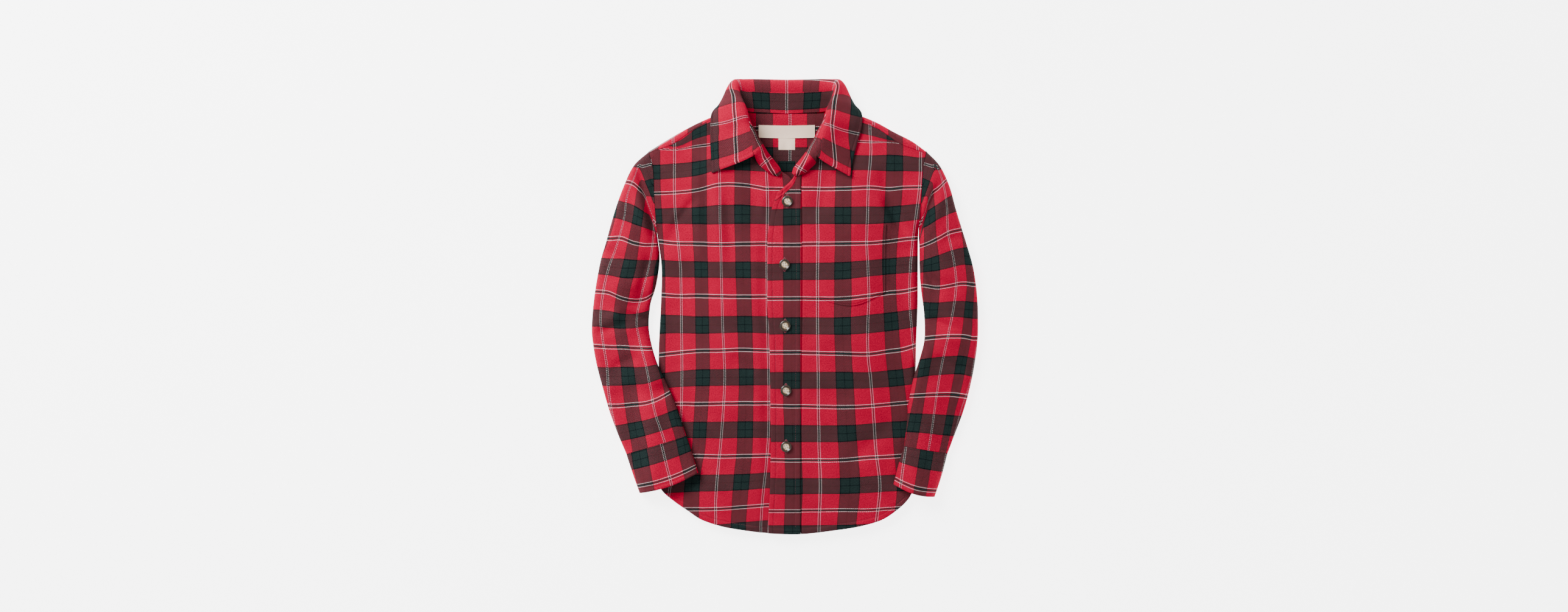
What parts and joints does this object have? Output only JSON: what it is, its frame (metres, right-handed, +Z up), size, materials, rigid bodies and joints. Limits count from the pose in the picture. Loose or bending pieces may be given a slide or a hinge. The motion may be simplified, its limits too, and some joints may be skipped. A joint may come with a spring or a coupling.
{
  "type": "flannel shirt",
  "caption": "Child's long-sleeved checked flannel shirt, buttoned and laid flat on its back, with a placket, a chest pocket, a point collar and sleeves that lie beside and over the body.",
  "frame": {"origin": "Middle of the footprint, on the surface that the shirt lies on.", "axes": "+X points to the wearer's left, which is the pocket side. +Y runs from the hem to the collar. +Z points up, out of the fronts."},
  "size_m": [0.4458, 0.525, 0.0384],
  "materials": {
    "flannel": "brushed cotton, red and dark green check with fine white lines",
    "horn": "mottled smoky horn effect, polished",
    "woven_label": "woven cream satin, bare"
  },
  "bodies": {
    "root": {"back": "flannel", "yoke": "flannel", "front_right": "flannel", "front_left": "flannel", "placket": "flannel", "pocket": "flannel", "sleeve_right": "flannel", "sleeve_left": "flannel", "cuff_right": "flannel", "cuff_left": "flannel", "collar_stand": "flannel", "collar_leaf": "flannel", "button_1": "horn", "button_2": "horn", "button_3": "horn", "button_4": "horn", "button_5": "horn", "neck_label": "woven_label", "size_tab": "woven_label"}
  },
  "joints": []
}
